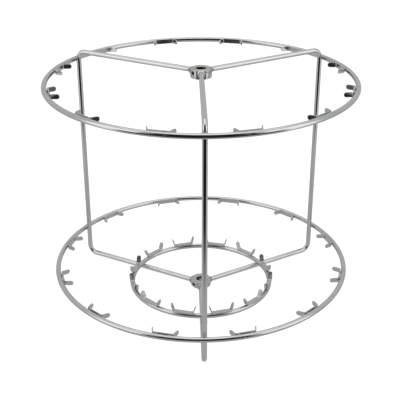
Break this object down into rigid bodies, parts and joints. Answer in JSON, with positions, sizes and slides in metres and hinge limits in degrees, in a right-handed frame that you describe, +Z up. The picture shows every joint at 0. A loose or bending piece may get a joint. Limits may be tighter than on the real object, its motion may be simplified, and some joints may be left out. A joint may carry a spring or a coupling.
{
  "type": "cooling rack",
  "caption": "Chrome wire rack with two large rings, a small inner ring, bent frame rods and clips that hold upright panels like spokes around a shaft.",
  "frame": {"origin": "on the rack's axis, in the plane that its lower hub and lower arms stand on", "axes": "+Z up along the axis from the lower hub to the upper hub, -Y towards the front frame rod"},
  "size_m": [0.5084, 0.5084, 0.4015],
  "materials": {
    "frame_chrome": "bright chrome plating on round bar",
    "ring_chrome": "bright chrome plating on drawn wire",
    "clip_chrome": "bright chrome plating on sheared and bent strip",
    "hub_steel": "plated over turned steel, slightly dull and uneven",
    "screw_steel": "black oxide on alloy steel"
  },
  "bodies": {
    "cage": {"front_frame_rod": "frame_chrome", "right_frame_rod": "frame_chrome", "left_frame_rod": "frame_chrome", "upper_ring": "ring_chrome", "lower_ring": "ring_chrome", "inner_ring": "ring_chrome", "upper_hub": "hub_steel", "lower_hub": "hub_steel", "upper_clip_01": "clip_chrome", "upper_clip_02": "clip_chrome", "upper_clip_03": "clip_chrome", "upper_clip_04": "clip_chrome", "upper_clip_05": "clip_chrome", "upper_clip_06": "clip_chrome", "upper_clip_07": "clip_chrome", "upper_clip_08": "clip_chrome", "upper_clip_09": "clip_chrome", "upper_clip_10": "clip_chrome", "upper_clip_11": "clip_chrome", "upper_clip_12": "clip_chrome", "lower_clip_01": "clip_chrome", "lower_clip_02": "clip_chrome", "lower_clip_03": "clip_chrome", "lower_clip_04": "clip_chrome", "lower_clip_05": "clip_chrome", "lower_clip_06": "clip_chrome", "lower_clip_07": "clip_chrome", "lower_clip_08": "clip_chrome", "lower_clip_09": "clip_chrome", "lower_clip_10": "clip_chrome", "lower_clip_11": "clip_chrome", "lower_clip_12": "clip_chrome", "inner_clip_01": "clip_chrome", "inner_clip_02": "clip_chrome", "inner_clip_03": "clip_chrome", "inner_clip_04": "clip_chrome", "inner_clip_05": "clip_chrome", "inner_clip_06": "clip_chrome", "inner_clip_07": "clip_chrome", "inner_clip_08": "clip_chrome", "inner_clip_09": "clip_chrome", "inner_clip_10": "clip_chrome", "inner_clip_11": "clip_chrome", "inner_clip_12": "clip_chrome"},
    "upper_set_screw": {"upper_hub_set_screw": "screw_steel"},
    "lower_set_screw": {"lower_hub_set_screw": "screw_steel"}
  },
  "joints": [
    {"name": "upper_set_screw_travel", "type": "slide", "parent": "cage", "child": "upper_set_screw", "axis": [0.766, 0.6428, 0], "range_m": [-0.0015, 0.0025]},
    {"name": "lower_set_screw_travel", "type": "slide", "parent": "cage", "child": "lower_set_screw", "axis": [0.766, 0.6428, 0], "range_m": [-0.0015, 0.0025]}
  ]
}
